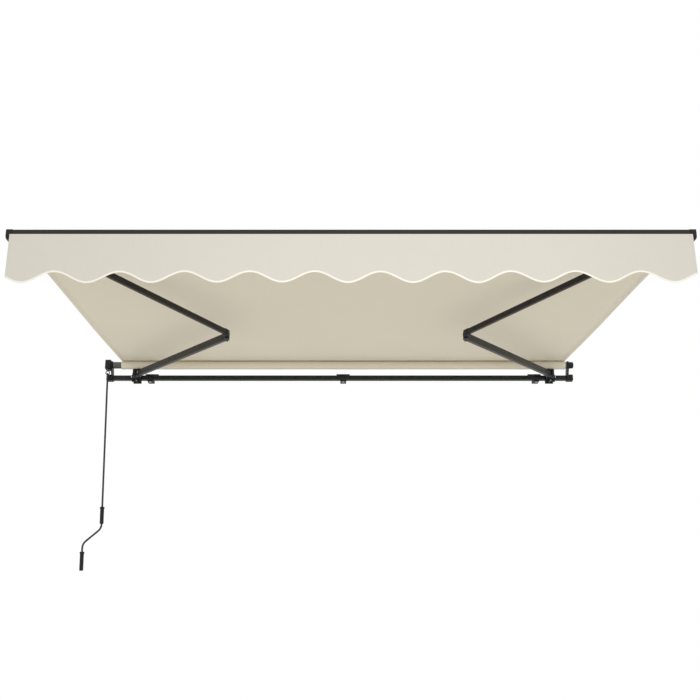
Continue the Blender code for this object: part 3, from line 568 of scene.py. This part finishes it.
# Keders: round cords sewn into the fabric's edges, which slide into the front bar's two slots.
# They and the cloth's last few millimetres down the slot's mouth hold the canopy and the valance.
KEDER = 0.0031
SLOT_DROP = 0.0085
VALANCE_SLOT_IN, VALANCE_SLOT_DROP = 0.0098, 0.0025
valance_low, valance_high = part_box("valance")
valance_middle = (valance_low.x + valance_high.x) / 2
valance_top = valance_high.z
valance_face = (valance_low.y + valance_high.y) / 2
canopy_slot = front - up * SLOT_DROP
valance_edge = Vector((valance_middle, valance_face, valance_top))
valance_slot = valance_edge - out * VALANCE_SLOT_IN - up * VALANCE_SLOT_DROP


def keder(name, centre, mouth):
    """The cord at a slot's centre, and a neck of cloth from it to the mouth, as one closed section."""
    way = (mouth - centre).normalized()
    square = way.cross(ACROSS)
    outline = []
    for step in range(13):
        angle = math.radians(20 + 320 * step / 12)
        outline.append(centre + way * KEDER * math.cos(angle) + square * KEDER * math.sin(angle))
    outline += [mouth - square * SHEET / 2, mouth + square * SHEET / 2]
    outline.append(outline[0])
    ends = [-half_width + 0.002, half_width - 0.002]
    rows = [
        [(Vector((x, point.y, point.z)), (x, 0.002 * i)) for i, point in enumerate(outline)] for x in ends
    ]
    made = cloth_mesh(name, rows, canvas)
    weld(made)
    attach(made, "front")
    return made


keder("canopy_keder", canopy_slot, front - above * SHEET * 0.3)
keder("valance_keder", valance_slot, Vector((valance_middle, valance_face, valance_top - 0.0008)))


# Valance: a strip of the same canvas that hangs plumb from the front bar, cut in a wave along its
# lower edge. The wave is bound with a pale bias tape, folded over the edge and stitched through.
PERIOD = 0.3125
FIRST_LOW = -1.581
PEAK, LOW = 0.202, 0.258
TAPE = 0.008
TAPE_STAND = 0.0008


def drop(x):
    """How far the wave hangs below the valance's top at x."""
    return (PEAK + LOW) / 2 + (LOW - PEAK) / 2 * math.cos(2 * math.pi * (x - FIRST_LOW) / PERIOD)


def valance_point(x, down, stand=0.0):
    """A point of the valance: down from its top, stand in front of its middle surface."""
    loose = (down / LOW) ** 1.3
    wave = 0.0030 * math.sin(4.1 * x + 0.4) + 0.0016 * math.sin(11.0 * x + 1.0) + 0.0008 * math.sin(23 * x)
    return Vector((x, valance_face - stand + loose * wave, valance_top - down))


columns = [-half_width + 2 * half_width * i / 340 for i in range(341)]
rows = []
for i, x in enumerate(columns):
    steps = [drop(x) * j / 12 for j in range(13)]
    near = [(valance_point(x, down, SHEET / 2), (x, down)) for down in steps]
    far = [(valance_point(x, down, -SHEET / 2), (x, down)) for down in steps]
    rows.append(near + far[::-1] + near[:1])
valance = cloth_mesh("valance_sheet", rows, hanging_canvas_painted_shade)
weld(valance)
valance.data.set_sharp_from_angle(angle=math.radians(50))


def edge_place(x, inwards, stand):
    """A point this far inside the wave's edge, square to the edge."""
    slope = (drop(x + 0.001) - drop(x - 0.001)) / 0.002
    length = math.hypot(1, slope)
    return valance_point(x + inwards * slope / length, drop(x) - inwards / length, stand)


rows = []
inner = half_width - 0.0005
for i in range(681):
    x = -inner + 2 * inner * i / 680
    front_stand = SHEET / 2 + TAPE_STAND
    section = [(TAPE, SHEET / 2), (TAPE, front_stand), (0.0005, front_stand), (-0.0010, front_stand * 0.6)]
    section += [(inwards, -stand) for inwards, stand in reversed(section)]
    row = [(edge_place(x, inwards, stand), (x, inwards + 0.02 * (stand > 0))) for inwards, stand in section]
    rows.append(row + row[:1])
binding = cloth_mesh("valance_binding", rows, tape)
weld(binding)
binding.data.set_sharp_from_angle(angle=math.radians(40))

along_edge = [-inner + 0.004 + (2 * inner - 0.008) * i / 400 for i in range(401)]
stand = SHEET / 2 + TAPE_STAND + 0.0001
tape_lines = [[edge_place(x, TAPE * 0.75, face * stand) for x in along_edge] for face in (-1, 1)]
side_lines = [
    [valance_point(x, 0.004 + (drop(x) - 0.014) * j / 12, face * SHEET / 2) for j in range(13)]
    for x in (-half_width + 0.010, half_width - 0.010) for face in (-1, 1)
]
valance_stitches = stitches("valance_stitches", tape_lines + side_lines)
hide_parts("valance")
for piece in (valance, binding, valance_stitches):
    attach(piece, "front")


# Crank grips: the two plastic sleeves have low moulded ribs round them for the hands.
def rib_tree():
    """Geometry nodes: a round rib at each point, square to the facing attribute."""
    tree, given, result = node_group(
        "GeometryNodeTree", "ribs",
        [("Geometry", "NodeSocketGeometry", None), ("Radius", "NodeSocketFloat", 0.0135),
         ("Height", "NodeSocketFloat", 0.0006), ("Material", "NodeSocketMaterial", None)],
        [("Geometry", "NodeSocketGeometry")],
    )
    ring = add(tree, "GeometryNodeCurvePrimitiveCircle", [("Resolution", 28), ("Radius", given["Radius"])])
    bead = add(tree, "GeometryNodeCurvePrimitiveCircle", [("Resolution", 8), ("Radius", given["Height"])])
    swept = [("Curve", ring.outputs[0]), ("Profile Curve", bead.outputs[0])]
    rib = add(tree, "GeometryNodeCurveToMesh", swept).outputs[0]
    turn = facing_turn(tree)
    placed = [("Points", given["Geometry"]), ("Instance", rib), ("Rotation", turn)]
    lay_copies(tree, given, result, placed)
    return tree


ribs = rib_tree()
RIB_COUNT = 16
RIB_START = 0.0172
RIB_MARGIN = 0.034
for body in ("upper_grip", "lower_grip"):
    joint = joints[f"{body}_turn"]
    centre = Vector(joint["pos_m"])
    rod_way = Vector(joint["axis"])
    length = (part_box(body)[1].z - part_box(body)[0].z) - 0.002
    shifts = [RIB_START + (length - RIB_MARGIN) * i / (RIB_COUNT - 1) for i in range(RIB_COUNT)]
    places = facing_points(f"{body}_ribs", [(centre - rod_way * shift, rod_way) for shift in shifts])
    values = {"Radius": 0.0133, "Height": 0.0008, "Material": black_plastic}
    made = grow(f"{body}_ribs", places, ribs, values)
    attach(made, body)


# Stage: a plain pale floor well below the awning, white surroundings and one soft lamp in front.
floor_mesh = bpy.data.meshes.new("floor")
FLOOR_HALF, FLOOR_LEVEL = 40.0, -2.80
quarters = ((-1, -1), (1, -1), (1, 1), (-1, 1))
floor_corners = [(FLOOR_HALF * x, FLOOR_HALF * y, FLOOR_LEVEL) for x, y in quarters]
floor_mesh.from_pydata(floor_corners, [], [(0, 1, 2, 3)])
floor = bpy.data.objects.new("floor", floor_mesh)
bpy.context.scene.collection.objects.link(floor)
pale = bpy.data.materials.new("pale_floor")
pale.use_nodes = True
pale.node_tree.nodes["Principled BSDF"].inputs["Base Color"].default_value = (0.82, 0.82, 0.81, 1.0)
pale.node_tree.nodes["Principled BSDF"].inputs["Roughness"].default_value = 0.8
floor_mesh.materials.append(pale)

world = bpy.data.worlds.new("white_studio")
world.use_nodes = True
world.node_tree.nodes["Background"].inputs["Color"].default_value = (1.0, 1.0, 1.0, 1.0)
world.node_tree.nodes["Background"].inputs["Strength"].default_value = 1.0
bpy.context.scene.world = world

lamp = bpy.data.lights.new("front_softbox", "AREA")
lamp.shape = "RECTANGLE"
lamp.size, lamp.size_y = 2.4, 1.6
lamp.energy = 38.0
lamp_object = bpy.data.objects.new("front_softbox", lamp)
lamp_object.location = (0.3, -5.4, -0.6)
lamp_object.rotation_euler = (math.radians(96), 0.0, 0.0)
bpy.context.scene.collection.objects.link(lamp_object)
bpy.context.scene.view_settings.view_transform = "Standard"

camera = bpy.data.cameras.new("camera")
camera.sensor_width = 36.0
camera.lens = 47.576
camera.shift_x = 0.0301
camera.shift_y = 0.0636
camera_object = bpy.data.objects.new("camera", camera)
camera_object.location = (-0.108, -6.6475, -2.2457)
camera_object.rotation_euler = (math.radians(90 + 17.814), 0.0, 0.0)
bpy.context.scene.collection.objects.link(camera_object)
bpy.context.scene.camera = camera_object
